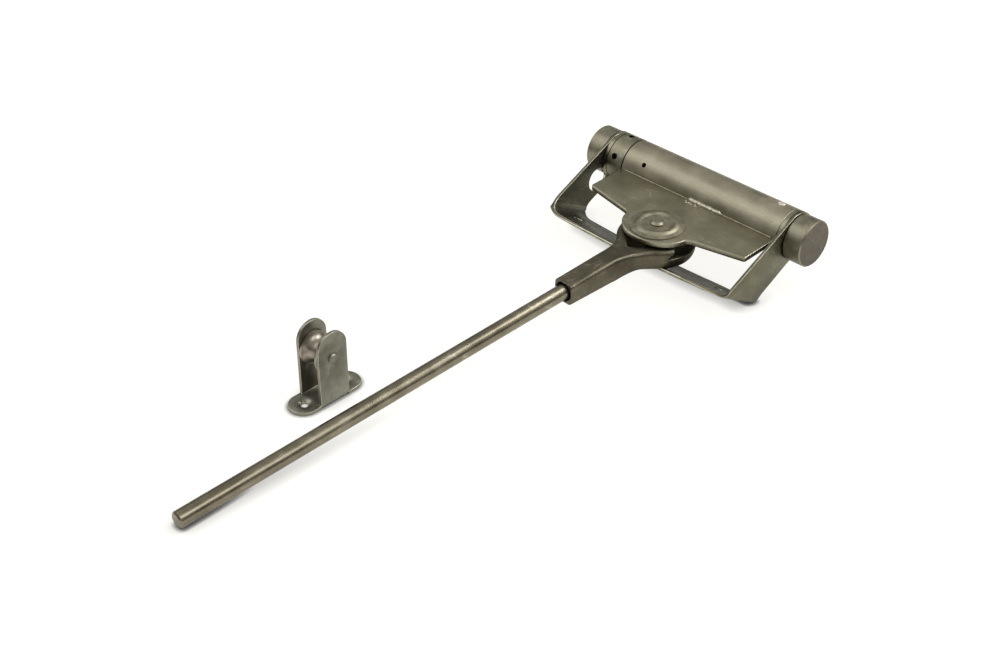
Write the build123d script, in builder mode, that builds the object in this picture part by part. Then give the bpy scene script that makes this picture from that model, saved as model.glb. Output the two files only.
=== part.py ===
from build123d import *
import os
from math import asin, cos, hypot, pi, radians, sin, sqrt, tan

os.makedirs("parts", exist_ok=True)

# Driving dimensions in millimetres and degrees

# Fits
running_fit = 0.05        # radial, on a pin or shaft that turns
seat_fit = 0.02           # radial, on a pin or plug that is fixed
face_gap = 0.05           # between flat faces that slide on each other

# Spindle, end caps and the arms' spacing
spindle_diameter = 10.0
arm_spacing = 145.2       # between the inner faces of the arms
cap_diameter = 30.7
cap_length = 13.3
cap_web = 3.4             # closed end of a cap, outside the spindle
cap_edge = 0.8

# Barrel
barrel_diameter = 32.0
barrel_wall = 2.0
thrust_thickness = 3.15   # washers between the arms and what turns
collar_length = 12.65
collar_gap = 0.3          # between the collar and the barrel
seam_edge = 0.3           # chamfer of the collar, the barrel and the washers at their seams
vent_diameter = 3.2
vent_inset = 16.3         # from the barrel's left end
vent_angle = 142.0        # round the barrel, from +Y towards +Z

# Tension collar and the two plugs
bar_hole_diameter = 4.3
bar_hole_depth = 7.0
bar_hole_offset = 1.3     # from the collar's middle, towards its left end
bar_hole_count = 5
bar_hole_angle = 151.7
plug_length_left = 9.5
plug_length_right = 18.0
plug_running_gap = 0.2    # left plug inside the barrel
bush_wall = 1.5
plug_pin_diameter = 5.0
plug_pin_inset = 10.3     # from the barrel's right end
plug_pin_angle = 79.0
plug_pin_length = 6.5
plug_pin_crown = 0.3

# Torsion spring
wire_diameter = 3.4
coil_radius = 9.8         # to the middle of the wire
coil_turns = 12
tang_bend = 4.5
tang_length = 9.5
tang_hole_gap = 0.2
coil_clearance = 2.2      # between a plug's face and its tang's bend

# Mounting frame, a bent strap
strap_thickness = 2.0
strap_width = 34.5
strap_fall = 29.0         # the strap falls this much below level, going back
strap_bow = 2.2
bend_radius = 6.5         # inside
arm_lean = 23.8           # the arm's top edge falls this much, going forward
arm_run = 69.6            # top edge, from the eye to the strap
arm_drop = 12.0           # bottom edge below the eye's middle line
arm_kink = 39.6           # bottom edge, from the eye to the kink
arm_bulge = 3.2           # lower corner beyond the strap's edge
flare_length = 12.0       # where the strap's edge runs out to that corner
kink_radius = 6.0
eye_blend = 8.0
arm_hole_diameter = 16.0
arm_hole_along = 23.2     # hole in the left arm, from the spindle
arm_hole_across = 1.6
screw_hole_diameter = 6.5
screw_hole_span = 116.0    # one hole at each end, in the middle of the strap's width

# Lever plate
plate_thickness = 3.2
plate_top = 2.4           # above the spindle's middle
plate_margin = 0.2        # the plate's ends inside the barrel's
plate_nose_radius = 24.0
plate_wing_rise = 8.2     # a wing's corner, back from the pivot's line
plate_wing_low = 0.9      # where a wing's edge meets the nose, forward of it
plate_edge = 0.35         # broken edge of the top face
plate_corner = 2.0
plate_throat = 5.0
pivot_reach = 53.8        # from the spindle to the pivot
weld_leg = 2.6
weld_inset = 3.0

# Pivot
rivet_diameter = 8.0
rivet_head_diameter = 9.0
rivet_head_height = 1.7
rivet_tail_diameter = 12.5
rivet_tail_height = 2.2
dish_diameter = 35.0
dish_height = 2.6         # top of the raised ring
dish_rim_height = 1.2
dish_step_diameter = 29.0 # where the rim steps up
dish_ring_diameter = 24.0 # middle of the raised ring
dish_floor_diameter = 19.0
dish_sink = 0.9           # the floor below the raised ring
dish_crest_radius = 2.5
spacer_diameter = 14.0
lower_washer_diameter = 20.0
lower_washer_thickness = 1.4

# Fork yoke
fork_floor = 2.5
fork_radius = 28.0
fork_rim_gap = 2.3        # between the cup's rim and the plate
fork_height = 9.4
fork_round = 2.8          # rounded outer edges
fork_blend = 40.0         # radius in plan between the cup and the neck
fork_pocket_radius = 22.0
fork_crotch = 28.0        # the pocket's narrow end, forward of the pivot
fork_crotch_radius = 4.0
fork_arm_start = 8.0      # the cup's full walls, forward of the pivot, at the rim
fork_arm_slant = 5.0      # and this much further forward at the lip
fork_lip = 4.4            # height of the wall round the rear
neck_start = 29.5         # where the top and the underside leave the cup's level
neck_end = 45.0
neck_bend = 20.0          # radius of their bends
socket_mouth = 81.6
socket_mouth_width = 14.4
socket_taper = 0.98       # each side, in degrees
socket_above = 6.9        # top of the socket over the rod's line
socket_below = 8.8        # its underside below that line, at the neck
socket_mouth_below = 7.45
socket_step_diameter = 12.4
socket_step_depth = 5.0

# Rod
rod_diameter = 10.0
rod_start = 54.0          # its hidden end, from the pivot
rod_end = 362.7
rod_yaw = 3.04
rod_height = 5.8          # its line below the spindle's, at the pivot
rod_edge = 1.0

# Roller bracket
bracket_x = -45.1
bracket_reach = 285.3     # from the spindle, forward
bracket_width = 19.2
bracket_thickness = 2.0
bracket_hole_spacing = 30.7
bracket_ear_radius = 9.5
bracket_hole_diameter = 4.3
bracket_sink_diameter = 8.7
bracket_sink_angle = 120.0
bracket_arm_width = 21.0
bracket_height = 48.0
bracket_bend = 0.8         # inside
roller_height = 30.7
roller_flange_radius = 10.5
roller_waist_radius = 6.5
roller_side_gap = 0.3
roller_lip = 1.6
roller_pin_diameter = 4.0
roller_pin_head = 6.4
roller_pin_crown = 1.3

# Places that follow from the sizes above

barrel_radius = barrel_diameter / 2
bore_radius = barrel_radius - barrel_wall
spindle_radius = spindle_diameter / 2
inner_face = arm_spacing / 2
outer_face = inner_face + strap_thickness
thrust_face = inner_face - thrust_thickness - 2 * face_gap
barrel_right = thrust_face
collar_left = -thrust_face
collar_right = collar_left + collar_length
barrel_left = collar_right + collar_gap
barrel_length = barrel_right - barrel_left
barrel_middle = (barrel_left + barrel_right) / 2

# The strap's directions across its width and out of its inner face
fall = radians(strap_fall)
lean = radians(arm_lean)
strap_across = (cos(fall), -sin(fall))
strap_inward = (sin(fall), cos(fall))
arm_forward = (-cos(lean), -sin(lean))
arm_upward = (-sin(lean), cos(lean))


def arm_point(along, up):
    """A point of the arm's outline, by its distances along and above the eye's middle line."""
    return (along * arm_forward[0] + up * arm_upward[0], along * arm_forward[1] + up * arm_upward[1])


def strap_point(across, inward):
    """A point of the strap's section, from its outer top corner."""
    corner = arm_point(arm_run, barrel_radius)
    return (
        corner[0] + across * strap_across[0] + inward * strap_inward[0],
        corner[1] + across * strap_across[1] + inward * strap_inward[1],
    )


# The lowest corner of the bowed strap stands on the ground, and so does the rod's end
axis_z = -strap_point(strap_width, -strap_bow)[1]
rod_drop = axis_z - rod_height - rod_diameter / 2 - face_gap
rod_fall = asin(rod_drop / rod_end)
rod_run = rod_end * cos(rod_fall)
front_reach = pivot_reach + rod_run * cos(radians(rod_yaw)) + rod_diameter / 2 * sin(radians(rod_yaw))
axis_y = (front_reach - barrel_radius) / 2

spindle_plane = Plane(origin=(0, axis_y, axis_z), x_dir=(0, 1, 0), z_dir=(1, 0, 0))


def across_spindle(x):
    """The plane square to the spindle at x, with its own x towards +Y and its own y up."""
    return spindle_plane.offset(x)


def round_barrel(x, angle):
    """The plane that faces out from the spindle at x and angle, with its own x along the spindle."""
    out = (0, cos(radians(angle)), sin(radians(angle)))
    return Plane(origin=(x, axis_y, axis_z), x_dir=(1, 0, 0), z_dir=out)


# Mounting frame: a strap with its two arms bent up, each with an eye for the spindle
corner = strap_point(0, 0)
strap_plane = Plane(
    origin=(0, axis_y + corner[0], axis_z + corner[1]),
    x_dir=(1, 0, 0),
    z_dir=(0, -strap_across[0], -strap_across[1]),
)
face_plane = Plane(
    origin=strap_plane.origin,
    x_dir=(1, 0, 0),
    z_dir=(0, strap_inward[0], strap_inward[1]),
)
flange_top = arm_run + barrel_radius
kink = arm_point(arm_kink, -arm_drop)
eye_under = arm_point(sqrt(barrel_radius**2 - arm_drop**2), -arm_drop)

with BuildPart() as mounting_frame:
    with BuildSketch(strap_plane) as strap_section:
        with BuildLine():
            Polyline(
                (-inner_face, strap_thickness),
                (-inner_face, flange_top),
                (-outer_face, flange_top),
                (-outer_face, 0),
            )
            ThreePointArc((-outer_face, 0), (0, -strap_bow), (outer_face, 0))
            Polyline(
                (outer_face, 0),
                (outer_face, flange_top),
                (inner_face, flange_top),
                (inner_face, strap_thickness),
            )
            ThreePointArc(
                (inner_face, strap_thickness),
                (0, strap_thickness - strap_bow),
                (-inner_face, strap_thickness),
            )
        make_face()
        corners = strap_section.vertices().sort_by(Axis.Y)
        fillet(corners[2:4], bend_radius)
        fillet(corners[:2], bend_radius + strap_thickness)
    extrude(amount=flange_top, both=True)
    with BuildSketch(across_spindle(0)) as arm_outline:
        with BuildLine():
            Polyline(
                arm_point(0, barrel_radius),
                strap_point(0, 0),
                strap_point(0, -2 * strap_bow),
                strap_point(strap_width, -2 * strap_bow),
                strap_point(strap_width, 0),
                strap_point(strap_width + arm_bulge, arm_bulge / 2),
                kink,
                eye_under,
                (0, 0),
                close=True,
            )
        make_face()
        Circle(barrel_radius)
        fillet(arm_outline.vertices().sort_by_distance(kink)[0], kink_radius)
        fillet(arm_outline.vertices().sort_by_distance(eye_under)[0], eye_blend)
    extrude(amount=outer_face + 1, both=True, mode=Mode.INTERSECT)
    with BuildSketch(face_plane):
        with BuildLine():
            Polyline(
                (-outer_face - 1, -1),
                (-outer_face - 1, flange_top),
                (1 - inner_face, flange_top),
                (1 - inner_face, strap_width + arm_bulge),
                (flare_length - inner_face, strap_width),
                (inner_face - flare_length, strap_width),
                (inner_face - 1, strap_width + arm_bulge),
                (inner_face - 1, flange_top),
                (outer_face + 1, flange_top),
                (outer_face + 1, -1),
                close=True,
            )
        make_face()
    extrude(amount=flange_top, both=True, mode=Mode.INTERSECT)
    for side in (-1, 1):
        with BuildSketch(across_spindle(side * inner_face)):
            with BuildLine():
                Polyline(
                    strap_point(strap_width, 0),
                    strap_point(strap_width + arm_bulge, arm_bulge / 2),
                    kink,
                    strap_point(strap_width, bend_radius + strap_thickness),
                    close=True,
                )
            make_face()
        extrude(amount=side * strap_thickness)
    with BuildSketch(across_spindle(0)):
        Circle(spindle_radius + seat_fit)
    extrude(amount=outer_face + 1, both=True, mode=Mode.SUBTRACT)
    with BuildSketch(across_spindle(-inner_face + 1)):
        with Locations(arm_point(arm_hole_along, -arm_hole_across)):
            Circle(arm_hole_diameter / 2)
    extrude(amount=-strap_thickness - 2, mode=Mode.SUBTRACT)
    with BuildSketch(face_plane):
        with Locations((0, strap_width / 2)):
            with GridLocations(screw_hole_span, 0, 2, 1):
                Circle(screw_hole_diameter / 2)
    extrude(amount=strap_thickness + strap_bow, both=True, mode=Mode.SUBTRACT)

# Spindle: fixed in both arms and in the caps
cap_inner = outer_face + seat_fit
spindle_half = cap_inner + cap_length - cap_web
with BuildPart() as spindle:
    with BuildSketch(across_spindle(-spindle_half)):
        Circle(spindle_radius)
    extrude(amount=2 * spindle_half)
    chamfer(spindle.edges().filter_by(GeomType.CIRCLE), cap_edge)


def end_cap(side):
    """A turned cap that closes one end of the spindle, outside its arm."""
    with BuildPart() as cap:
        with BuildSketch(across_spindle(side * cap_inner)):
            Circle(cap_diameter / 2)
        extrude(amount=side * cap_length)
        rims = cap.edges().filter_by(GeomType.CIRCLE)
        chamfer(rims, cap_edge)
        with BuildSketch(across_spindle(side * cap_inner)):
            Circle(spindle_radius + seat_fit)
        extrude(amount=side * (cap_length - cap_web), mode=Mode.SUBTRACT)
    return cap


end_cap_left = end_cap(-1)
end_cap_right = end_cap(1)


def thrust_washer(side):
    """The washer between an arm and what turns beside it."""
    with BuildPart() as washer:
        with BuildSketch(across_spindle(side * (inner_face - face_gap))):
            Circle(barrel_radius)
            Circle(spindle_radius + seat_fit, mode=Mode.SUBTRACT)
        extrude(amount=-side * thrust_thickness)
        rims = washer.edges().filter_by(GeomType.CIRCLE).group_by(SortBy.RADIUS)[-1]
        chamfer(rims, seam_edge)
    return washer


thrust_washer_left = thrust_washer(-1)
thrust_washer_right = thrust_washer(1)

# Barrel tube
with BuildPart() as barrel_tube:
    with BuildSketch(across_spindle(barrel_left)):
        Circle(barrel_radius)
        Circle(bore_radius, mode=Mode.SUBTRACT)
    extrude(amount=barrel_length)
    rims = barrel_tube.edges().filter_by(GeomType.CIRCLE).group_by(SortBy.RADIUS)[-1]
    chamfer(rims, seam_edge)
    with BuildSketch(round_barrel(barrel_left + vent_inset, vent_angle)):
        Circle(vent_diameter / 2)
    extrude(amount=barrel_radius + 1, mode=Mode.SUBTRACT)
    with BuildSketch(round_barrel(barrel_right - plug_pin_inset, plug_pin_angle)):
        Circle(plug_pin_diameter / 2 + seat_fit)
    extrude(amount=barrel_radius + 1, mode=Mode.SUBTRACT)

# The spring's path: a steady helix along the spindle with an axial tang at each end
bush_radius = spindle_radius + running_fit + bush_wall
left_plug_end = collar_right + plug_length_left
right_plug_end = barrel_right - plug_length_right
coil_start = left_plug_end + tang_bend + coil_clearance
coil_end = right_plug_end - tang_bend - coil_clearance
coil_pitch = (coil_end - coil_start) / coil_turns
rise = coil_pitch / (2 * pi)
helix_slope = hypot(coil_radius, rise)


def coil_point(turn):
    """A point on the wire's middle line after this many turns."""
    angle = 2 * pi * turn
    return Vector(
        coil_start + coil_pitch * turn,
        axis_y + coil_radius * cos(angle),
        axis_z + coil_radius * sin(angle),
    )


def coil_tangent(turn):
    """The wire's direction after this many turns."""
    angle = 2 * pi * turn
    return Vector(rise, -coil_radius * sin(angle), coil_radius * cos(angle)) * (1 / helix_slope)


def arc_joint(first, second, first_way, second_way):
    """Where two equal-length tangent arcs between two ends meet, and their direction there."""
    chord = second - first
    a = 2 * (first_way.dot(second_way) - 1)
    b = -2 * chord.dot(first_way + second_way)
    reach = (-b - sqrt(b * b - 4 * a * chord.dot(chord))) / (2 * a)
    before = first + first_way * reach
    after = second - second_way * reach
    return (before + after) * 0.5, (after - before).normalized()


turn_in = radians(90) - asin(rise / helix_slope)
tang_offset = Vector(tang_bend * sin(turn_in), 0, tang_bend * (1 - cos(turn_in)))
tang_left = coil_point(0) - tang_offset
tang_right = coil_point(coil_turns) + tang_offset
tang_way = Vector(1, 0, 0)

with BuildPart() as main_spring:
    with BuildLine() as spring_path:
        Line(tang_left - tang_way * tang_length, tang_left)
        TangentArc(tang_left, coil_point(0), tangent=tang_way)
        for half in range(2 * coil_turns):
            start = half / 2
            stop = start + 0.5
            joint, joint_way = arc_joint(
                coil_point(start), coil_point(stop), coil_tangent(start), coil_tangent(stop))
            TangentArc(coil_point(start), joint, tangent=coil_tangent(start))
            TangentArc(joint, coil_point(stop), tangent=joint_way)
        TangentArc(coil_point(coil_turns), tang_right, tangent=coil_tangent(coil_turns))
        Line(tang_right, tang_right + tang_way * tang_length)
    with BuildSketch(Plane(origin=tang_left - tang_way * tang_length, z_dir=tang_way)):
        Circle(wire_diameter / 2)
    sweep(path=spring_path.line)

samples = [coil_point(step / 16) for step in range(16 * coil_turns + 1)]
apart = [(samples[i] - samples[j]).length for i in range(len(samples)) for j in range(i + 8, len(samples))]
print("spring, least gap between turns", round(min(apart) - wire_diameter, 2))

tang_hole_radius = wire_diameter / 2 + tang_hole_gap
tang_place_left = (tang_left.Y - axis_y, tang_left.Z - axis_z)
tang_place_right = (tang_right.Y - axis_y, tang_right.Z - axis_z)

# Tension collar: turned in one with the plug that holds the spring's left tang
with BuildPart() as tension_collar:
    with BuildSketch(across_spindle(collar_left)):
        Circle(barrel_radius)
    extrude(amount=collar_length)
    chamfer(tension_collar.edges().filter_by(GeomType.CIRCLE), seam_edge)
    with BuildSketch(across_spindle(collar_right)):
        Circle(bore_radius - plug_running_gap)
    extrude(amount=plug_length_left)
    with BuildSketch(across_spindle(collar_left)):
        Circle(bush_radius + seat_fit)
    extrude(amount=collar_length + plug_length_left, mode=Mode.SUBTRACT)
    with BuildSketch(across_spindle(left_plug_end)):
        with Locations(tang_place_left):
            Circle(tang_hole_radius)
    extrude(amount=-tang_length, mode=Mode.SUBTRACT)
    bar_hole_x = (collar_left + collar_right) / 2 - bar_hole_offset
    for hole in range(bar_hole_count):
        hole_plane = round_barrel(bar_hole_x, bar_hole_angle + hole * 360 / bar_hole_count)
        with BuildSketch(hole_plane.offset(barrel_radius + 1)):
            Circle(bar_hole_diameter / 2)
        extrude(amount=-bar_hole_depth - 1, mode=Mode.SUBTRACT)

# Bushes: pressed in the collar and in the barrel's plug, running on the spindle


def plug_bush(start, length):
    """A plain bush along the spindle."""
    with BuildPart() as bush:
        with BuildSketch(across_spindle(start)):
            Circle(bush_radius)
            Circle(spindle_radius + running_fit, mode=Mode.SUBTRACT)
        extrude(amount=length)
    return bush


collar_bush = plug_bush(collar_left + face_gap, collar_length + plug_length_left - face_gap)
barrel_bush = plug_bush(right_plug_end, plug_length_right - face_gap)

# Barrel plug: closes the barrel's right end and holds the spring's right tang
with BuildPart() as barrel_plug:
    with BuildSketch(across_spindle(right_plug_end)):
        Circle(bore_radius - seat_fit)
        Circle(bush_radius + seat_fit, mode=Mode.SUBTRACT)
    extrude(amount=plug_length_right - face_gap)
    with BuildSketch(across_spindle(right_plug_end)):
        with Locations(tang_place_right):
            Circle(tang_hole_radius)
    extrude(amount=tang_length, mode=Mode.SUBTRACT)
    with BuildSketch(round_barrel(barrel_right - plug_pin_inset, plug_pin_angle).offset(barrel_radius)):
        Circle(plug_pin_diameter / 2 + seat_fit)
    extrude(amount=-plug_pin_length - seat_fit, mode=Mode.SUBTRACT)

# Barrel pin: set flush through the barrel's wall into the plug, with a low crown
with BuildPart() as barrel_pin:
    with BuildSketch(round_barrel(barrel_right - plug_pin_inset, plug_pin_angle).offset(
            barrel_radius - plug_pin_length)):
        Circle(plug_pin_diameter / 2)
    extrude(amount=plug_pin_length + plug_pin_crown)
    crown = barrel_pin.edges().sort_by(Axis((0, 0, 0), round_barrel(0, plug_pin_angle).z_dir))[-1]
    fillet(crown, plug_pin_crown * 0.9)

# Lever plate: two wings along the barrel and a round nose about the pivot
pivot_x = barrel_middle
pivot_y = axis_y - pivot_reach
plate_bottom = plate_top - plate_thickness
half_plate = barrel_length / 2 - plate_margin

with BuildPart() as lever_plate:
    with BuildSketch(Plane(origin=(pivot_x, pivot_y, axis_z + plate_bottom))):
        with BuildLine():
            Polyline(
                (-half_plate, pivot_reach),
                (-half_plate, plate_wing_rise),
                (0, -plate_wing_low - plate_wing_rise / 2),
                (half_plate, plate_wing_rise),
                (half_plate, pivot_reach),
                close=True,
            )
        make_face()
        Circle(plate_nose_radius)
    extrude(amount=plate_thickness)
    with BuildSketch(across_spindle(barrel_left - 1)):
        Circle(barrel_radius + seat_fit)
        with Locations((barrel_radius, 0)):
            Rectangle(2 * barrel_radius, 2 * barrel_radius)
    extrude(amount=barrel_length + 2, mode=Mode.SUBTRACT)
    upright = lever_plate.edges().filter_by(Axis.Z)
    throats = upright.filter_by(lambda edge: abs(abs(edge.center().X - pivot_x) - plate_nose_radius) < 4)
    fillet(throats, plate_throat)
    corners = lever_plate.edges().filter_by(Axis.Z).filter_by(
        lambda edge: abs(edge.center().Y - pivot_y - plate_wing_rise) < 0.1)
    fillet(corners, plate_corner)
    top_edges = lever_plate.faces().sort_by(Axis.Z)[-1].edges()
    chamfer(top_edges.filter_by(lambda edge: edge.center().Y < pivot_y + plate_wing_rise - 0.1), plate_edge)
    with Locations((pivot_x, pivot_y, axis_z + plate_top)):
        Hole(rivet_diameter / 2 + seat_fit)

# Welds: one bead above the plate and one below, along the barrel
with BuildPart() as plate_welds:
    for level, way in ((plate_top, 1), (plate_bottom, -1)):
        root_y = -sqrt(barrel_radius**2 - level**2)
        with BuildSketch(across_spindle(barrel_left + weld_inset)):
            with BuildLine():
                Polyline(
                    (root_y + 1, level + way * seat_fit),
                    (root_y - weld_leg, level + way * seat_fit),
                    (root_y + 0.3 * weld_leg, level + way * weld_leg),
                    (root_y + 1 + 0.3 * weld_leg, level + way * weld_leg),
                    close=True,
                )
            make_face()
            Circle(barrel_radius + seat_fit, mode=Mode.SUBTRACT)
        extrude(amount=barrel_length - 2 * weld_inset)

# Pivot: a dished washer above the plate, a rivet through all, a spacer and a washer below
fork_top = plate_bottom - fork_rim_gap
fork_bottom = fork_top - fork_height
spacer_low = fork_bottom + fork_floor + face_gap
pivot_top = Plane(origin=(pivot_x, pivot_y, axis_z))
pivot_section = Plane(origin=(pivot_x, pivot_y, axis_z), x_dir=(1, 0, 0), z_dir=(0, -1, 0))
dish_foot = plate_top + seat_fit
dish_top = dish_foot + dish_height
dish_floor = dish_top - dish_sink

with BuildPart() as pivot_washer:
    with BuildSketch(pivot_section) as dish_section:
        with BuildLine():
            Polyline(
                (rivet_diameter / 2 + seat_fit, dish_floor),
                (dish_floor_diameter / 2, dish_floor),
                (dish_ring_diameter / 2, dish_top),
                (dish_step_diameter / 2, dish_foot + dish_rim_height),
                (dish_diameter / 2, dish_foot + dish_rim_height / 2),
                (dish_diameter / 2, dish_foot),
                (rivet_diameter / 2 + seat_fit, dish_foot),
                close=True,
            )
        make_face()
        crest = dish_section.vertices().sort_by_distance((dish_ring_diameter / 2, dish_top))[0]
        fillet(crest, dish_crest_radius)
    revolve(axis=Axis((pivot_x, pivot_y, 0), (0, 0, 1)))

with BuildPart() as pivot_spacer:
    with BuildSketch(pivot_top.offset(spacer_low)):
        Circle(spacer_diameter / 2)
        Circle(rivet_diameter / 2 + seat_fit, mode=Mode.SUBTRACT)
    extrude(amount=plate_bottom - seat_fit - spacer_low)

washer_top = fork_bottom - face_gap
washer_low = washer_top - lower_washer_thickness
with BuildPart() as lower_washer:
    with BuildSketch(pivot_top.offset(washer_low)):
        Circle(lower_washer_diameter / 2)
        Circle(rivet_diameter / 2 + seat_fit, mode=Mode.SUBTRACT)
    extrude(amount=lower_washer_thickness)

with BuildPart() as pivot_rivet:
    with BuildSketch(pivot_section):
        with BuildLine():
            Polyline(
                (0, washer_low - seat_fit - rivet_tail_height),
                (rivet_tail_diameter / 2 - 1.2, washer_low - seat_fit - rivet_tail_height),
                (rivet_tail_diameter / 2, washer_low - seat_fit - 0.8),
                (rivet_tail_diameter / 2, washer_low - seat_fit),
                (rivet_diameter / 2, washer_low - seat_fit),
                (rivet_diameter / 2, dish_floor + seat_fit),
                (rivet_head_diameter / 2, dish_floor + seat_fit),
                (rivet_head_diameter / 2, dish_floor + seat_fit + 0.6),
                (rivet_head_diameter / 2 - 1.4, dish_floor + seat_fit + rivet_head_height),
                (0, dish_floor + seat_fit + rivet_head_height),
                close=True,
            )
        make_face()
    revolve(axis=Axis((pivot_x, pivot_y, 0), (0, 0, 1)))

# Fork yoke: an open cup about the pivot that narrows to a square-sided socket for the rod
yaw = radians(rod_yaw)
rod_way = Vector(-sin(yaw), -cos(yaw), 0)
side_way = Vector(cos(yaw), -sin(yaw), 0)
rod_line = rod_way * cos(rod_fall) - Vector(0, 0, sin(rod_fall))
pivot_on_rod = Vector(pivot_x, pivot_y, axis_z - rod_height)
fork_profile = Plane(origin=(pivot_x, pivot_y, axis_z), x_dir=rod_way, z_dir=side_way * -1)
neck_root = socket_mouth_width / 2 + socket_mouth * tan(radians(socket_taper))
neck_join = sqrt(fork_radius**2 - neck_root**2)


def fork_level(height):
    """The level plane about the pivot with its own x sideways and its own y forward along the rod."""
    return Plane(origin=(pivot_x, pivot_y, axis_z + height), x_dir=side_way * -1, z_dir=(0, 0, 1))


def rod_plane(forward):
    """The plane square to the rod, this far along its line from the pivot."""
    return Plane(origin=pivot_on_rod + rod_line * forward, x_dir=side_way, z_dir=rod_line)


def off_rod(forward, above):
    """A point of the fork's profile, by its distances forward of the pivot and above the rod's line."""
    return (forward, above - rod_height - forward * tan(rod_fall))


with BuildPart() as fork_yoke:
    with BuildSketch(fork_level(fork_bottom - fork_height)) as fork_plan:
        with BuildLine():
            Polyline(
                (-neck_root, 0),
                (-socket_mouth_width / 2, socket_mouth),
                (socket_mouth_width / 2, socket_mouth),
                (neck_root, 0),
                close=True,
            )
        make_face()
        Circle(fork_radius)
        joins = fork_plan.vertices().filter_by(lambda join: abs(join.Y - neck_join) < fork_round)
        fillet(joins, fork_blend)
    extrude(amount=3 * fork_height)
    with BuildSketch(fork_profile) as fork_side:
        with BuildLine():
            Polyline(
                (-fork_radius - 1, fork_top),
                (neck_start, fork_top),
                off_rod(neck_end, socket_above),
                off_rod(socket_mouth, socket_above),
                off_rod(socket_mouth, -socket_mouth_below),
                off_rod(neck_end, -socket_below),
                (neck_start, fork_bottom),
                (-fork_radius - 1, fork_bottom),
                close=True,
            )
        make_face()
        bends = fork_side.vertices().filter_by(lambda bend: neck_start - 1 < bend.X < neck_end + 1)
        fillet(bends, neck_bend)
    extrude(amount=fork_radius + 1, both=True, mode=Mode.INTERSECT)
    mouth = fork_yoke.faces().sort_by(Axis(pivot_on_rod, rod_line))[-1]
    long_edges = fork_yoke.edges() - mouth.edges()
    fillet(long_edges.filter_by(lambda edge: abs(edge.tangent_at(0.5).Z) < 0.7), fork_round)
    with BuildSketch(fork_level(fork_bottom + fork_floor)):
        Circle(fork_pocket_radius)
        with Locations((0, fork_crotch - fork_crotch_radius)):
            Circle(fork_crotch_radius)
        make_hull()
    extrude(amount=fork_height, mode=Mode.SUBTRACT)
    with BuildSketch(fork_profile):
        with BuildLine():
            Polyline(
                (-fork_radius - 1, fork_bottom + fork_lip),
                (fork_arm_start + fork_arm_slant, fork_bottom + fork_lip),
                (fork_arm_start, fork_top),
                (fork_arm_start, fork_top + 1),
                (-fork_radius - 1, fork_top + 1),
                close=True,
            )
        make_face()
    extrude(amount=fork_radius + 1, both=True, mode=Mode.SUBTRACT)
    with BuildSketch(fork_level(fork_bottom)):
        Circle(rivet_diameter / 2 + running_fit)
    extrude(amount=fork_floor, mode=Mode.SUBTRACT)
    with BuildSketch(rod_plane(rod_start)):
        Circle(rod_diameter / 2 + seat_fit)
    extrude(amount=socket_mouth - rod_start + 1, mode=Mode.SUBTRACT)
    with BuildSketch(rod_plane(socket_mouth + 1)):
        Circle(socket_step_diameter / 2)
    extrude(amount=-socket_step_depth - 1, mode=Mode.SUBTRACT)

# Rod: fixed in the socket, its far end on the ground
with BuildPart() as rod:
    with BuildSketch(rod_plane(rod_start + seat_fit)):
        Circle(rod_diameter / 2)
    extrude(amount=rod_end - rod_start - seat_fit)
    chamfer(rod.edges().filter_by(GeomType.CIRCLE), rod_edge)

# Roller bracket: a stadium base with two arms bent up, round-topped
bracket_y = axis_y - bracket_reach
half_bracket = bracket_width / 2
bracket_ground = Plane(origin=(bracket_x, bracket_y, 0))
roller_plane = Plane(origin=(bracket_x, bracket_y, roller_height), x_dir=(0, 1, 0), z_dir=(1, 0, 0))
roller_section = Plane(origin=(bracket_x, bracket_y, roller_height), x_dir=(1, 0, 0), z_dir=(0, -1, 0))
roller_axis = Axis((bracket_x, bracket_y, roller_height), (1, 0, 0))
arm_top = bracket_height - bracket_arm_width / 2 - roller_height

with BuildPart() as roller_bracket:
    with BuildSketch(roller_section) as channel:
        with Locations((0, -roller_height)):
            Rectangle(bracket_width, 2 * bracket_height)
            Rectangle(
                bracket_width - 2 * bracket_thickness, 2 * bracket_height + 2, mode=Mode.SUBTRACT)
            Rectangle(bracket_width, 2 * bracket_thickness)
        with Locations((0, -roller_height - bracket_height)):
            Rectangle(2 * bracket_width, 2 * bracket_height, mode=Mode.SUBTRACT)
        levels = channel.vertices().group_by(Axis.Y)
        fillet(levels[0], bracket_bend + bracket_thickness)
        fillet(levels[1], bracket_bend)
    extrude(amount=bracket_arm_width / 2, both=True)
    with BuildSketch(roller_plane):
        with Locations((0, arm_top)):
            Circle(bracket_arm_width / 2)
        with Locations((0, (arm_top - roller_height) / 2)):
            Rectangle(bracket_arm_width, arm_top + roller_height)
    extrude(amount=half_bracket, both=True, mode=Mode.INTERSECT)
    with BuildSketch(bracket_ground):
        SlotCenterToCenter(bracket_hole_spacing, 2 * bracket_ear_radius, rotation=90)
        Rectangle(2 * bracket_width, bracket_arm_width, mode=Mode.SUBTRACT)
    extrude(amount=bracket_thickness)
    with Locations(bracket_ground.offset(bracket_thickness)):
        with GridLocations(0, bracket_hole_spacing, 1, 2):
            CounterSinkHole(
                bracket_hole_diameter / 2, bracket_sink_diameter / 2, counter_sink_angle=bracket_sink_angle)
    with BuildSketch(roller_plane):
        Circle(roller_pin_diameter / 2 + seat_fit)
    extrude(amount=half_bracket, both=True, mode=Mode.SUBTRACT)

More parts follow.
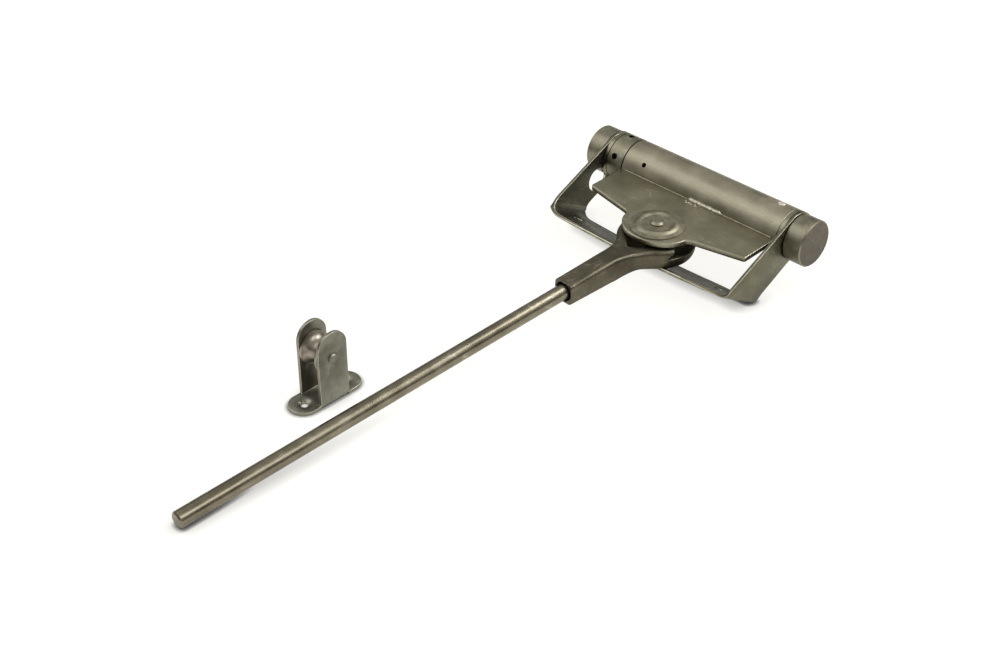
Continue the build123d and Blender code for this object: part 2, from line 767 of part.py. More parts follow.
# Roller: a concave spool that turns on the pin
roller_half = half_bracket - bracket_thickness - roller_side_gap
with BuildPart() as roller:
    with BuildSketch(roller_section):
        with BuildLine():
            Polyline(
                (roller_half - roller_lip, roller_flange_radius),
                (roller_half, roller_flange_radius),
                (roller_half, roller_pin_diameter / 2 + running_fit),
                (-roller_half, roller_pin_diameter / 2 + running_fit),
                (-roller_half, roller_flange_radius),
                (roller_lip - roller_half, roller_flange_radius),
            )
            ThreePointArc(
                (roller_lip - roller_half, roller_flange_radius),
                (0, roller_waist_radius),
                (roller_half - roller_lip, roller_flange_radius),
            )
        make_face()
    revolve(axis=roller_axis)

# Roller pin: riveted over outside both arms of the bracket
pin_seat = half_bracket + seat_fit
pin_end = pin_seat + roller_pin_crown
with BuildPart() as roller_pin:
    with BuildSketch(roller_section):
        with BuildLine():
            Polyline(
                (-pin_end, 0),
                (-pin_end, roller_pin_head / 2 - roller_pin_crown * 0.7),
                (-pin_seat - roller_pin_crown * 0.3, roller_pin_head / 2),
                (-pin_seat, roller_pin_head / 2),
                (-pin_seat, roller_pin_diameter / 2),
                (pin_seat, roller_pin_diameter / 2),
                (pin_seat, roller_pin_head / 2),
                (pin_seat + roller_pin_crown * 0.3, roller_pin_head / 2),
                (pin_end, roller_pin_head / 2 - roller_pin_crown * 0.7),
                (pin_end, 0),
                close=True,
            )
        make_face()
    revolve(axis=roller_axis)

for node_name, node in (
    ("mounting_frame", mounting_frame),
    ("spindle", spindle),
    ("end_cap_left", end_cap_left),
    ("end_cap_right", end_cap_right),
    ("thrust_washer_left", thrust_washer_left),
    ("thrust_washer_right", thrust_washer_right),
    ("barrel_tube", barrel_tube),
    ("main_spring", main_spring),
    ("tension_collar", tension_collar),
    ("collar_bush", collar_bush),
    ("barrel_bush", barrel_bush),
    ("barrel_plug", barrel_plug),
    ("barrel_pin", barrel_pin),
    ("lever_plate", lever_plate),
    ("plate_welds", plate_welds),
    ("pivot_washer", pivot_washer),
    ("pivot_spacer", pivot_spacer),
    ("lower_washer", lower_washer),
    ("pivot_rivet", pivot_rivet),
    ("fork_yoke", fork_yoke),
    ("rod", rod),
    ("roller_bracket", roller_bracket),
    ("roller", roller),
    ("roller_pin", roller_pin),
):
    node.part.label = node_name
    export_step(node.part, f"parts/{node_name}.step")
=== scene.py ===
from math import cos, pi, radians, sin, sqrt

import bmesh
import bpy
from mathutils import Matrix, Vector, noise
from mathutils.bvhtree import BVHTree


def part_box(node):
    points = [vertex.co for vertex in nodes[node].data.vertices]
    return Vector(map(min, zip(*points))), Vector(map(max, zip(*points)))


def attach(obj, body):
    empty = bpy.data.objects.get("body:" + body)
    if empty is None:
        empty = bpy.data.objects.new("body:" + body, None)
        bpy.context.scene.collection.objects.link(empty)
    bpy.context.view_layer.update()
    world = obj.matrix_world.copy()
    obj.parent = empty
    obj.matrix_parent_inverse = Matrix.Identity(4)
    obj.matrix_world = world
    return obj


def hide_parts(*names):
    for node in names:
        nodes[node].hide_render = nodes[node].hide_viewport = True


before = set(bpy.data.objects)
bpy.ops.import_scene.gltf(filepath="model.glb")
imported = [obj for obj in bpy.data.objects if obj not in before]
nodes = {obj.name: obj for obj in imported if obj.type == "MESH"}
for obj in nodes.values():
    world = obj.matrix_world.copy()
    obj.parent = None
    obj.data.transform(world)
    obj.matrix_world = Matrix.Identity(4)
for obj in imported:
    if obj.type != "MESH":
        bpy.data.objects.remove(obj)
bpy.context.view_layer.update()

# The spindle's middle line, which the barrel, the collar and both caps share.
barrel_low, barrel_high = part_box("barrel_tube")
spindle_y = (barrel_low.y + barrel_high.y) / 2
spindle_z = (barrel_low.z + barrel_high.z) / 2
barrel_radius = (barrel_high.z - barrel_low.z) / 2

# Camera: above the right front, as the photograph was taken.
camera_turn = radians(44.416)
camera_tilt = radians(35.025)
camera_eye = Vector((0.5976, spindle_y - 0.7972, spindle_z + 0.5861))
camera_right = Vector((cos(camera_turn), sin(camera_turn), 0))
camera_level = Vector((-sin(camera_turn), cos(camera_turn), 0))
camera_up = sin(camera_tilt) * camera_level + cos(camera_tilt) * Vector((0, 0, 1))
camera_back = sin(camera_tilt) * Vector((0, 0, 1)) - cos(camera_tilt) * camera_level

lens = bpy.data.cameras.new("camera")
lens.sensor_width = 36.0
lens.lens = 63.92
lens.clip_start = 0.05
lens.clip_end = 50.0
camera = bpy.data.objects.new("camera", lens)
camera.matrix_world = Matrix.Translation(camera_eye) @ Matrix(
    (camera_right, camera_up, camera_back)).transposed().to_4x4()
bpy.context.scene.collection.objects.link(camera)
bpy.context.scene.camera = camera

# Mounting frame: one strip of 2 mm mild steel, punched, bent to a U and zinc plated.
# The strip's rolled faces are a dull grey, and its edges are painted lighter as a highlight, so
# every edge shows as a thin light line.
millimetre = 0.001
scratch_gap = 4.0 * millimetre
pit_gap = 6.5 * millimetre
pit_outline = 0.9 * millimetre


def clamp(value):
    """The value, held between 0 and 1."""
    return min(max(value, 0), 1)


def linear(hex_colour):
    """An sRGB hex colour as the linear colour that a shader takes."""
    channels = [int(hex_colour[i:i + 2], 16) / 255 for i in (1, 3, 5)]
    return tuple(
        c / 12.92 if c <= 0.04045 else ((c + 0.055) / 1.055) ** 2.4 for c in channels) + (1.0,)


def put(tree, kind, settings=None, ordered=(), **links):
    """Adds a node, sets its properties and inputs, and links outputs to it by order or by name."""
    node = tree.nodes.new(kind)
    for name, value in (settings or {}).items():
        if name in node.inputs:
            node.inputs[name].default_value = value
        else:
            setattr(node, name, value)
    for number, output in enumerate(ordered):
        tree.links.new(output, node.inputs[number])
    for name, output in links.items():
        tree.links.new(output, node.inputs[name.replace("_", " ")])
    return node


def plated(name, light, dark, roughness, cloud_mm=9.0, grain_mm=0.7, grain_stretch=(1.0, 1.0, 1.0),
           relief_mm=0.03, scratches=0.5, scratch_stretch=(0.12, 1.0, 1.0), specks=0.5):
    """A plated steel: cloudy tint, grain in roughness and relief, fine scratches, dark pits."""
    material = bpy.data.materials.new(name)
    material.use_nodes = True
    tree = material.node_tree
    tree.nodes.clear()
    place = put(tree, "ShaderNodeTexCoord").outputs["Object"]

    # The tint drifts in clouds between the dark and the light colour
    clouds = put(tree, "ShaderNodeTexNoise", {
        "Scale": 1 / (cloud_mm * millimetre), "Detail": 5.0, "Roughness": 0.62}, Vector=place)
    tint = put(tree, "ShaderNodeValToRGB", Fac=clouds.outputs["Fac"])
    for stop, position, colour in zip(tint.color_ramp.elements, (0.32, 0.68), (dark, light)):
        stop.position = position
        stop.color = linear(colour)

    # The grain is stretched where a tool or a die ran along the metal
    grain_place = put(tree, "ShaderNodeMapping", {
        "Scale": tuple(s / (grain_mm * millimetre) for s in grain_stretch)}, Vector=place)
    grain = put(tree, "ShaderNodeTexNoise", {
        "Scale": 1.0, "Detail": 4.0, "Roughness": 0.65}, Vector=grain_place.outputs[0])

    # Scratches are thin lines, kept only where a cloud is light
    scratch_place = put(tree, "ShaderNodeMapping", {
        "Scale": tuple(s / scratch_gap for s in scratch_stretch),
        "Rotation": (0.3, 0.2, 0.15)}, Vector=place)
    cracks = put(tree, "ShaderNodeTexVoronoi", {
        "feature": "DISTANCE_TO_EDGE", "Scale": 1.0, "Randomness": 1.0},
        Vector=scratch_place.outputs[0])
    lines = put(tree, "ShaderNodeMapRange", {
        "From Min": 0.0, "From Max": 0.022, "To Min": 1.0, "To Max": 0.0},
        Value=cracks.outputs["Distance"])
    sparse = put(tree, "ShaderNodeMapRange", {
        "From Min": 0.52, "From Max": 0.62, "To Min": 0.0, "To Max": scratches},
        Value=clouds.outputs["Fac"])
    scratch = put(tree, "ShaderNodeMath", {
        "operation": "MULTIPLY"}, (lines.outputs[0], sparse.outputs[0]))
    worn = put(tree, "ShaderNodeMix", {"data_type": "RGBA", "B": linear("#c9c5b4")},
               Factor=scratch.outputs[0], A=tint.outputs["Color"])

    # Pits are small dark spots with a ragged outline
    pits = put(tree, "ShaderNodeTexVoronoi", {"Scale": 1 / pit_gap}, Vector=place)
    ragged = put(tree, "ShaderNodeTexNoise", {
        "Scale": 1 / pit_outline, "Detail": 2.0}, Vector=place)
    outline = put(tree, "ShaderNodeMath", {
        "operation": "MULTIPLY"}, (pits.outputs["Distance"], ragged.outputs["Fac"]))
    spot = put(tree, "ShaderNodeMapRange", {
        "From Min": 0.012, "From Max": 0.034, "To Min": specks, "To Max": 0.0},
        Value=outline.outputs[0])
    pitted = put(tree, "ShaderNodeMix", {"data_type": "RGBA", "B": linear("#4a3f36")},
                 Factor=spot.outputs[0], A=worn.outputs["Result"])

    blend = put(tree, "ShaderNodeMath", {
        "operation": "ADD"}, (grain.outputs["Fac"], clouds.outputs["Fac"]))
    rough = put(tree, "ShaderNodeMapRange", {
        "From Min": 0.7, "From Max": 1.3, "To Min": roughness - 0.08, "To Max": roughness + 0.1},
        Value=blend.outputs[0])
    height = put(tree, "ShaderNodeMath", {
        "operation": "SUBTRACT"}, (grain.outputs["Fac"], scratch.outputs[0]))
    relief = put(tree, "ShaderNodeBump", {
        "Strength": 0.5, "Distance": relief_mm * millimetre}, Height=height.outputs[0])

    shader = put(
        tree, "ShaderNodeBsdfPrincipled", {"Metallic": 1.0},
        Base_Color=pitted.outputs["Result"], Roughness=rough.outputs[0], Normal=relief.outputs[0])
    put(tree, "ShaderNodeOutputMaterial", Surface=shader.outputs[0])
    return material


# Painted highlight: edges get a lighter, smoother plating than the faces, so they read as light
# lines.
edge_highlight_plating = plated(
    "plating with painted edge highlight", "#bfbba9", "#959181", 0.32, relief_mm=0.01, scratches=0.0)


def dressed(node_name, material):
    """Gives a CAD node its material and smooth faces with crisp edges."""
    data = nodes[node_name].data
    data.materials.clear()
    data.materials.append(material)
    for face in data.polygons:
        face.use_smooth = True
    data.set_sharp_from_angle(angle=radians(32))


def added(name, mesh):
    """A mesh as a new object of the scene."""
    piece = bpy.data.objects.new(name, mesh)
    bpy.context.scene.collection.objects.link(piece)
    return piece


def broken_edges(node_name, body, material, edge_mm, keep=None, reshape=None):
    """Replaces a CAD node by a copy whose sharp edges are broken, with lighter plating painted on
    them as highlight.
    """
    form = bmesh.new()
    form.from_mesh(nodes[node_name].data)
    bmesh.ops.remove_doubles(form, verts=form.verts, dist=0.002 * millimetre)
    bmesh.ops.dissolve_limit(form, angle_limit=radians(0.4), verts=form.verts, edges=form.edges)
    bmesh.ops.dissolve_degenerate(form, dist=0.01 * millimetre, edges=form.edges)
    sharp = [
        edge for edge in form.edges
        if len(edge.link_faces) == 2 and edge.calc_face_angle() > radians(38)
        and not (keep and keep(edge))]
    shell = BVHTree.FromBMesh(form)
    bmesh.ops.bevel(
        form, geom=sharp, offset=edge_mm * millimetre, offset_type="OFFSET", affect="EDGES",
        segments=2, profile=0.5, material=1, clamp_overlap=False,
        miter_outer="SHARP", miter_inner="SHARP")
    # A bevelled point never belongs far off the CAD's surface: at odd corners it's put back on it
    for vert in form.verts:
        surface = shell.find_nearest(vert.co)[0]
        if (surface - vert.co).length > 0.35 * edge_mm * millimetre:
            vert.co = surface
    if reshape:
        reshape(form)
    bmesh.ops.triangulate(form, faces=[face for face in form.faces if len(face.verts) > 4])
    for face in form.faces:
        face.smooth = True
    mesh = bpy.data.meshes.new(node_name + "_plated")
    form.to_mesh(mesh)
    form.free()
    mesh.materials.append(material)
    mesh.materials.append(edge_highlight_plating)
    mesh.set_sharp_from_angle(angle=radians(40))
    piece = added(node_name + "_plated", mesh)
    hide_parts(node_name)
    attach(piece, body)
    return piece


# The strip's own directions: across its width, and inward through its thickness. The CAD's
# lower bends are square outside, so the copy is bent to the photograph's two radii instead.
strip_tilt = radians(29.25)
across_strip = Vector((0, cos(strip_tilt), -sin(strip_tilt)))
inward_strip = Vector((0, sin(strip_tilt), cos(strip_tilt)))
strip_corner = Vector((0, spindle_y, spindle_z)) + Vector((0, -70.14, -13.45)) * millimetre
half_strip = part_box("mounting_frame")[1].x
strip_thick = 2.0 * millimetre
bend_size = 13.0 * millimetre
bend_cuts = 16
cad_bend = 6.5 * millimetre
left_bend = 12.0 * millimetre
right_bend = 3.4 * millimetre
twist_from = 40 * millimetre
twist_step = 5 * millimetre
twist_drop = 1.6 * millimetre
twist_width = 37.7 * millimetre
twist_height = 30 * millimetre


def bend_centre(side):
    """The middle of the square that holds one lower bend."""
    return Vector((side * (half_strip - bend_size), 0, 0)) + strip_corner + inward_strip * bend_size


def to_corner(flat, steep, wall, radius):
    """How far a ray from the bend's centre runs to a rounded corner of its walls."""
    straight = (bend_size - wall) / max(flat, steep)
    if bend_size - straight * min(flat, steep) >= wall + radius:
        return straight
    spare = max(bend_size - wall - radius, 0)
    return spare * (flat + steep) + sqrt(
        spare**2 * ((flat + steep) ** 2 - 2) + (bend_size - wall - spare) ** 2)


def on_bend(edge):
    """Whether an edge is the square corner outside a lower bend."""
    return all(
        abs(vert.co.x) > half_strip - 0.01 * millimetre
        and abs((vert.co - strip_corner).dot(inward_strip)) < 3 * millimetre
        for vert in edge.verts)


def cut(form, parts, place, way):
    """Cuts parts of a form along a plane, so that they can be bent there."""
    bmesh.ops.bisect_plane(form, geom=parts, plane_co=place, plane_no=way, dist=1e-7)


def bend_strip(form):
    """Gives both lower bends their round outside, and the right end its slight twist."""
    along = Vector((1, 0, 0))
    cuts = [(Vector((side * (half_strip - bend_size), 0, 0)), along) for side in (-1, 1)]
    cuts += [(Vector((twist_from + step * twist_step, 0, 0)), along) for step in range(6)]
    cuts += [
        (strip_corner + inward_strip * bend_size * step, inward_strip) for step in (1.0, 1.5, 2.0)]
    for place, way in cuts:
        cut(form, form.verts[:] + form.edges[:] + form.faces[:], place, way)
    for side in (-1, 1):
        centre = bend_centre(side)
        for step in range(1, bend_cuts):
            turn = radians(90 / bend_cuts * step)
            near = [
                face for face in form.faces
                if (face.calc_center_median() - centre).dot(inward_strip) < 0
                and side * (face.calc_center_median().x - centre.x) > 0]
            edges = {edge for face in near for edge in face.edges}
            verts = {vert for face in near for vert in face.verts}
            cut(form, near + list(edges) + list(verts), centre,
                Vector((side * sin(turn), 0, 0)) + inward_strip * cos(turn))
    for vert in form.verts:
        side = 1 if vert.co.x > 0 else -1
        centre = bend_centre(side)
        out = side * (vert.co.x - centre.x)
        down = -(vert.co - centre).dot(inward_strip)
        if out > 0 and down > 0:
            # A point keeps its share of the wall between the bend's outside and its inside
            radius = left_bend if side < 0 else right_bend
            reach = sqrt(out**2 + down**2)
            flat, steep = out / reach, down / reach
            square = bend_size / max(flat, steep)
            share = (square - reach) / (square - to_corner(flat, steep, strip_thick, cad_bend))
            outside = to_corner(flat, steep, 0, radius)
            inside = to_corner(
                flat, steep, strip_thick, max(radius - strip_thick, strip_thick / 2))
            moved = outside + share * (inside - outside)
            vert.co += (Vector((side * flat, 0, 0)) - inward_strip * steep) * (moved - reach)
        from_corner = vert.co - strip_corner
        twist = clamp((vert.co.x - twist_from) / (half_strip - twist_from)) ** 2
        twist *= clamp(from_corner.dot(across_strip) / twist_width)
        twist *= clamp(1 - from_corner.dot(inward_strip) / twist_height)
        vert.co -= inward_strip * twist_drop * twist
    bmesh.ops.triangulate(form, faces=[face for face in form.faces if len(face.verts) > 4])


# Rolled mild steel under zinc: dull and cloudy, with soft reflections only.
strip_steel = plated("zinc-plated strip steel", "#74715f", "#5d5b4c", 0.40, cloud_mm=14.0)
strip = broken_edges("mounting_frame", "frame", strip_steel, 0.3, on_bend, bend_strip)
# Inside the U the faces are painted darker and flatter, as shade.
strip.data.materials.append(plated(
    "inside of the strip, painted shade", "#5c594c", "#49473c", 0.44, cloud_mm=14.0, scratches=0.2))
# Faces on the web and on the inside of the arms get the darker material: painted shade.
for face in strip.data.polygons:
    on_web = face.normal.dot(inward_strip) > 0.7 and face.normal.dot(across_strip) > -0.5
    in_arm = face.center.x * face.normal.x < -0.9 * abs(face.center.x)
    # The front cut edge faces up to the light and takes the lighter plating: painted highlight.
    if face.normal.dot(across_strip) < -0.9:
        face.material_index = 1
    elif face.material_index == 0 and (on_web or in_arm):
        face.material_index = 2

# Spindle and thrust washers: a 10 mm ground pin fixed in both arms, with a turned steel washer
# beside each arm. The lathe's rings give the washers a soft sheen that runs round them.
turned_rings = plated(
    "turned steel washers", "#918d7c", "#6f6c5c", 0.34, grain_mm=0.5, grain_stretch=(1.0, 0.2, 0.2))
dressed("spindle", turned_rings)

# The narrow seams between the turning parts are painted dark as shade, so each reads as a dark
# line.
seam_painted_shade = plated(
    "painted shade in a seam", "#2e2b24", "#1e1c17", 0.75, relief_mm=0.02, scratches=0.0, specks=0.0)


def paint_seam_shade(node_name, limit):
    """Paints shade on the small bevels of a round piece that lie within limit of the spindle's
    middle.
    """
    data = nodes[node_name].data
    data.materials.append(seam_painted_shade)
    shade_slot = len(data.materials) - 1
    for face in data.polygons:
        if 0.3 < abs(face.normal.x) < 0.95 and abs(face.center.x) < limit:
            face.material_index = shade_slot


for name in ("thrust_washer_left", "thrust_washer_right"):
    dressed(name, turned_rings)
    paint_seam_shade(name, half_strip)

# End caps: turned from bar and zinc plated, pressed on the spindle's ends. The lathe left fine
# rings round the side, which blur its highlight, and the flat end is painted darker and browner as
# shade.
turned_cap = plated(
    "turned and plated bar", "#8f8b79", "#757162", 0.42, cloud_mm=7.0, grain_mm=0.45,
    grain_stretch=(1.0, 0.12, 0.12), relief_mm=0.02, scratches=0.8)
cap_end_painted_shade = plated(
    "turned cap end, painted shade", "#5f584e", "#4b453c", 0.42, cloud_mm=7.0, grain_mm=0.6,
    relief_mm=0.05, scratches=0.25, scratch_stretch=(1.0, 0.5, 0.5))
cap_seam = 2 * millimetre
for name in ("end_cap_left", "end_cap_right"):
    dressed(name, turned_cap)
    nodes[name].data.materials.append(cap_end_painted_shade)
    # The flat end faces take the darker material: painted shade.
    for face in nodes[name].data.polygons:
        face.material_index = int(abs(face.normal.x) > 0.9)
    paint_seam_shade(name, half_strip + cap_seam)

# Barrel: a length of drawn tube, plated and polished along its length by handling. Its grain runs
# lengthwise and spreads the highlight, and both cut ends are painted lighter as a highlight.
drawn_tube = plated(
    "drawn and plated tube", "#a09b89", "#878271", 0.45, cloud_mm=18.0, grain_mm=0.6,
    grain_stretch=(0.05, 1.0, 1.0), relief_mm=0.012, scratches=0.5)
dressed("barrel_tube", drawn_tube)
nodes["barrel_tube"].data.materials.append(edge_highlight_plating)
for face in nodes["barrel_tube"].data.polygons:
    face.material_index = int(0.3 < abs(face.normal.x) < 0.95)

# Inside the barrel: the wound spring of bare steel wire, darker than plated steel, its plug, and
# the turned bushes that the barrel and the collar run on.
spring_steel = plated("spring steel wire", "#6a665e", "#4e4b45", 0.42, scratches=0.0)
dressed("main_spring", spring_steel)
for name in ("barrel_plug", "barrel_bush", "collar_bush"):
    dressed(name, turned_rings)

# Tension collar: turned from the same bar as the caps, plated, and cross drilled for a tommy bar
# that loads the spring. It turns on the spindle beside the left arm.
dressed("tension_collar", turned_cap)
paint_seam_shade("tension_collar", half_strip)

# Barrel pin: a hardened pin driven through the tube to hold the plug, its crown painted near white
# as a glint, so it shows as a small white spot.
pin_glint_steel = plated(
    "steel painted bright as a glint", "#f6f3ea", "#dedacc", 0.42, relief_mm=0.01, scratches=0.0)
dressed("barrel_pin", pin_glint_steel)

# Lever plate: 3 mm sheet, cut to two wings and a nose, plated after it was welded to the barrel.
# Its zinc is lighter than the strip's, with broad faint clouds and a few scratches.
plate_steel = plated(
    "zinc-plated plate", "#918e7a", "#7a7765", 0.40, cloud_mm=20.0, grain_mm=0.9, relief_mm=0.035)
washer_low, washer_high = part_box("pivot_washer")
pivot = (washer_low + washer_high) / 2
nose_share = 0.8


def flatten_nose(form):
    """The nose reaches less far forward than a full round about the pivot."""
    for vert in form.verts:
        if vert.co.y < pivot.y:
            vert.co.y = pivot.y + nose_share * (vert.co.y - pivot.y)


broken_edges("lever_plate", "lever", plate_steel, 0.3, reshape=flatten_nose)

# Welds: a thin fillet run on each face of the plate along the barrel, thick and rippled in the
# middle where it was built up.
weld_low, weld_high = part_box("plate_welds")
plate_low, plate_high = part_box("lever_plate")
bead_thin = 0.5 * millimetre
bead_thick = 1.75 * millimetre
bead_ripple = 1.9 * millimetre
bead_from = -1 * millimetre
bead_to = 28 * millimetre
bead_fade = 2.5 * millimetre
bead_sides = 14
bead_cuts = 230
spatter_drops = 16


def uneven(x, size, y=0.0, z=0.0):
    """Smooth noise along the run, with bumps of about one size."""
    return noise.noise(Vector((x / size, y, z)))


def bead_size(x):
    """The bead's radius at x: thin, then built up and rippled in the middle stretch."""
    rise = clamp((x - bead_from) / bead_fade) * clamp((bead_to - x) / bead_fade)
    ripple = 0.16 * sin(2 * pi * x / bead_ripple) + 0.35 * uneven(x, 3.2 * millimetre, 3.1, 0.7)
    return bead_thin * (1 + 0.25 * uneven(x, 5 * millimetre)) + (
        bead_thick - bead_thin) * rise * (1 + ripple)


weld_mesh = bpy.data.meshes.new("weld_beads")
noise.seed_set(7)
for level in (plate_low.z, plate_high.z):
    length = weld_high.x - weld_low.x
    root = Vector((
        (weld_low.x + weld_high.x) / 2,
        spindle_y - sqrt(barrel_radius**2 - (level - spindle_z) ** 2),
        level))
    form = bmesh.new()
    form.from_mesh(weld_mesh)
    done = len(form.verts)
    bmesh.ops.create_cone(
        form, cap_ends=True, segments=bead_sides, radius1=1.0, radius2=1.0, depth=length,
        matrix=Matrix.Rotation(pi / 2, 4, "Y"))
    form.verts.ensure_lookup_table()
    long_edges = [
        edge for edge in form.edges
        if max(vert.index for vert in edge.verts) >= done
        and abs((edge.verts[0].co - edge.verts[1].co).x) > length / 2]
    bmesh.ops.subdivide_edges(form, edges=long_edges, cuts=bead_cuts)
    form.verts.ensure_lookup_table()
    for vert in form.verts[done:]:
        x = root.x + vert.co.x
        size = bead_size(x) * (
            1 + 0.09 * uneven(x, 1.1 * millimetre, vert.co.y * 1.5, vert.co.z * 1.5))
        vert.co = Vector((x, root.y + vert.co.y * size, root.z + vert.co.z * size))
    for face in form.faces:
        face.smooth = True
    form.to_mesh(weld_mesh)
    form.free()

# Drops of spatter, 0.25 to 0.8 mm in radius and mostly small, lie on the plate beside the
# built-up stretch, and more of them close to the run than far from it.
form = bmesh.new()
form.from_mesh(weld_mesh)
spatter_shape = Matrix.Diagonal((1.5, 1.0, 0.45, 1.0))
for drop in range(spatter_drops):
    spread = Vector((noise.random(), noise.random(), noise.random()))
    size = (0.25 + 0.55 * spread.z**2) * millimetre
    place = Vector((
        bead_from + (0.004 + 0.45 * spread.x) * (bead_to - bead_from),
        root.y - (1.5 + 7.5 * spread.y**2) * millimetre,
        plate_high.z - 0.1 * size))
    bmesh.ops.create_icosphere(
        form, subdivisions=2, radius=size, matrix=Matrix.Translation(place) @ spatter_shape)
for face in form.faces:
    face.smooth = True
form.to_mesh(weld_mesh)
form.free()

# The thin run blends in with the plate, and the built-up metal is painted light in small spots, as
# glints on its ripples.
weld_mesh.materials.append(plated(
    "plated weld run", "#a09c8a", "#7c7868", 0.36, cloud_mm=2.2, grain_mm=0.5, scratches=0.0))
weld_mesh.materials.append(plated(
    "built-up weld with painted glints", "#d2cec0", "#8f8b7a", 0.38, cloud_mm=1.6, grain_mm=0.5,
    relief_mm=0.06, scratches=0.0))
for face in weld_mesh.polygons:
    face.material_index = int(bead_from < face.center.x < bead_to)
welds = added("weld_beads", weld_mesh)
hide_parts("plate_welds")
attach(welds, "lever")

# Pivot: a pressed washer with a raised ring, held by a riveted pin over a spacer and a washer.
# The press left its faces smooth, so the rings show by soft light and dark bands.
pressed_washer = plated(
    "pressed and plated washer", "#96917f", "#787463", 0.44, cloud_mm=6.0, grain_mm=0.6,
    relief_mm=0.02)
dressed("pivot_washer", pressed_washer)
dressed("pivot_rivet", pressed_washer)
dressed("pivot_spacer", turned_rings)
dressed("lower_washer", turned_rings)

# Fork yoke: a drop forging, tumbled and plated, so its faces are a little uneven and its edges
# round, without a bright line. It's darker than the plate, and turns on the pivot's pin.
forged_steel = plated(
    "plated forging", "#676253", "#4f4b3f", 0.40, cloud_mm=11.0, grain_mm=1.1, relief_mm=0.05,
    scratches=0.4, scratch_stretch=(1.0, 0.15, 1.0))
cup_rim = plate_low.z - 2.3 * millimetre
cup_height = 9.4 * millimetre
cup_rise = 1.2 * millimetre
cup_drop = 4.2 * millimetre
cup_narrower = 3.0 * millimetre
cup_middle = 12 * millimetre
cup_inside = 22 * millimetre
cup_wall = 20 * millimetre
neck_from = 34 * millimetre
neck_to = 58 * millimetre
deep_from = 18 * millimetre
deep_to = 48 * millimetre
rim_share = 0.3
floor_share = 0.74


def deepen_cup(form):
    """The cup round the pivot is narrower, nearer the plate, and hangs lower than the neck."""
    for vert in form.verts:
        from_pivot = (vert.co - pivot).xy.length
        near = clamp((deep_to - from_pivot) / (deep_to - deep_from))
        depth = clamp((cup_rim - vert.co.z) / cup_height)
        vert.co.z -= near * cup_drop * max(0, (depth - floor_share) / (1 - floor_share))
        if from_pivot > cup_wall:
            vert.co.z += near * cup_rise * max(0, 1 - depth / rim_share)
        if from_pivot > cup_middle:
            narrower = clamp((from_pivot - cup_middle) / (cup_inside - cup_middle))
            narrower *= clamp((neck_to - from_pivot) / (neck_to - neck_from))
            vert.co.xy += (pivot - vert.co).xy.normalized() * cup_narrower * narrower


fork = broken_edges("fork_yoke", "rod_arm", forged_steel, 0.6, reshape=deepen_cup)
for face in fork.data.polygons:
    face.material_index = 0

# Rod: 10 mm drawn round bar, pushed into the fork's socket, with draw lines along it that pull the
# highlight into one long streak.
drawn_rod = plated(
    "drawn and plated rod", "#868070", "#6a6556", 0.30, cloud_mm=16.0, grain_mm=0.5,
    grain_stretch=(1.0, 0.03, 1.0), relief_mm=0.02, scratches=0.6,
    scratch_stretch=(1.0, 0.08, 1.0))
dressed("rod", drawn_rod)

# Roller bracket: 2 mm strip with rounded ends, bent to a channel, plated, and screwed to the door
# by its two ears. Its zinc is cooler and greyer than the closer's.
bracket_strip = plated(
    "zinc-plated bracket strip", "#8b8a7e", "#716f66", 0.38, cloud_mm=10.0, grain_mm=0.8)
broken_edges("roller_bracket", "frame", bracket_strip, 0.25)

# Roller and its pin: a turned concave spool on a pin riveted over at both ends. The roller's
# polish gives it the clearest highlight, with a faint pink tone.
turned_spool = plated(
    "turned and plated spool", "#a39b90", "#857e74", 0.36, cloud_mm=9.0, grain_mm=0.5,
    grain_stretch=(1.0, 0.08, 0.08), relief_mm=0.006, scratches=0.0)
dressed("roller", turned_spool)
dressed("roller_pin", bracket_strip)

# Floor: a broad sheet of matt white paper. The camera sees it as bright as the photograph's, and
# darker only close to the object. The metal mirrors it dimmer, and dimmest near the object.
form = bmesh.new()
bmesh.ops.create_grid(form, x_segments=1, y_segments=1, size=6.0)
floor_mesh = bpy.data.meshes.new("floor")
form.to_mesh(floor_mesh)
form.free()
floor = added("floor", floor_mesh)
floor_paint = bpy.data.materials.new("pale matt floor")
floor_paint.use_nodes = True
tree = floor_paint.node_tree
tree.nodes.clear()
paint = put(tree, "ShaderNodeBsdfDiffuse", {"Color": linear("#efeeea")})
thin_paint = put(tree, "ShaderNodeBsdfDiffuse", {"Color": linear("#6a6967")})
# Painted shadow: the floor's glow is dimmed by ambient occlusion close to the object, to the camera
# and in the metal.
contact = put(tree, "ShaderNodeAmbientOcclusion", {"Distance": 9 * millimetre, "samples": 6})
seen = put(tree, "ShaderNodeLightPath")
touch = put(tree, "ShaderNodeAmbientOcclusion", {"Distance": 3 * millimetre, "samples": 5})
near = put(tree, "ShaderNodeMapRange", {
    "From Min": 0.5, "From Max": 1.0, "To Min": 0.1}, Value=touch.outputs["AO"])
far = put(tree, "ShaderNodeMapRange", {
    "To Min": 0.3, "To Max": 0.94}, Value=contact.outputs["AO"])
white = put(tree, "ShaderNodeMath", {"operation": "MULTIPLY"}, (near.outputs[0], far.outputs[0]))
mirrored = put(tree, "ShaderNodeMapRange", {"To Max": 0.25}, Value=contact.outputs["AO"])
looks = []
for base, strength in ((thin_paint, white), (paint, mirrored)):
    glow = put(tree, "ShaderNodeEmission", {
        "Color": linear("#fefdf9")}, Strength=strength.outputs[0])
    looks.append(put(tree, "ShaderNodeAddShader", None, (base.outputs[0], glow.outputs[0])))
in_view, in_mirror = looks
in_metal = put(tree, "ShaderNodeMixShader", None, (
    seen.outputs["Is Glossy Ray"], paint.outputs[0], in_mirror.outputs[0]))
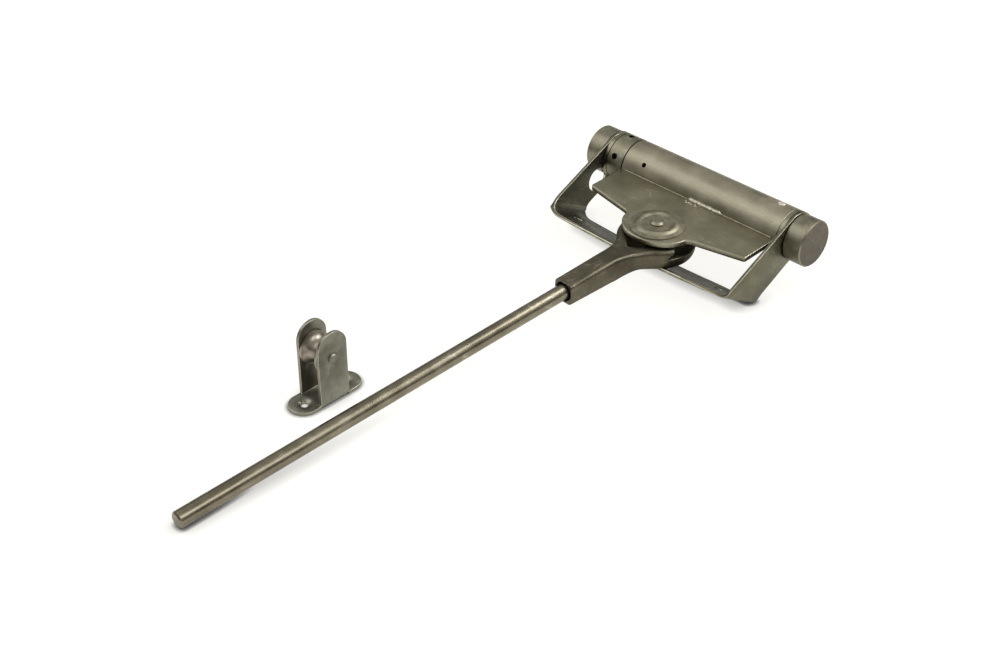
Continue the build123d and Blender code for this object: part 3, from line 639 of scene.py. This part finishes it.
mix = put(tree, "ShaderNodeMixShader", None, (
    seen.outputs["Is Camera Ray"], in_metal.outputs[0], in_view.outputs[0]))
put(tree, "ShaderNodeOutputMaterial", Surface=mix.outputs[0])
floor_mesh.materials.append(floor_paint)

# Light: a pale room that is dimmer towards the horizon, with a broad key lamp high on the left, a
# stronger small one behind the object, and a weak one on the right for the rod's highlight.
world = bpy.data.worlds.new("pale room")
bpy.context.scene.world = world
world.use_nodes = True
tree = world.node_tree
tree.nodes.clear()
direction = put(tree, "ShaderNodeTexCoord").outputs["Generated"]
parts = put(tree, "ShaderNodeSeparateXYZ", Vector=direction)
room = put(tree, "ShaderNodeValToRGB", Fac=parts.outputs["Z"])
room_stops = zip(room.color_ramp.elements, (0.05, 0.75), ("#55524a", "#e9e7e0"))
for stop, position, colour in room_stops:
    stop.position = position
    stop.color = linear(colour)
air = put(tree, "ShaderNodeBackground", {"Strength": 0.9}, Color=room.outputs["Color"])
backdrop = put(tree, "ShaderNodeBackground", {"Color": linear("#fefefa"), "Strength": 1.0})
seen = put(tree, "ShaderNodeLightPath")
mix = put(tree, "ShaderNodeMixShader", None, (
    seen.outputs["Is Camera Ray"], air.outputs[0], backdrop.outputs[0]))
put(tree, "ShaderNodeOutputWorld", Surface=mix.outputs[0])


def soft_lamp(name, place, aim, size, watts):
    """A square lamp that faces its aim."""
    light = bpy.data.lights.new(name, "AREA")
    light.shape = "SQUARE"
    light.size = size
    light.energy = watts
    lamp = bpy.data.objects.new(name, light)
    way = Vector(place) - Vector(aim)
    lamp.matrix_world = (
        Matrix.Translation(place) @ way.to_track_quat("Z", "Y").to_matrix().to_4x4())
    bpy.context.scene.collection.objects.link(lamp)


soft_lamp("key lamp", (-0.97, -0.50, 1.26), (0, 0.1, 0), 1.25, 7.5)
soft_lamp("back lamp", (0.55, 1.18, 1.39), (0, 0.1, 0), 0.8, 15)
soft_lamp("right lamp", (1.15, 0.20, 1.29), (0, -0.2, 0), 0.7, 6)

bpy.context.scene.view_settings.view_transform = "Standard"
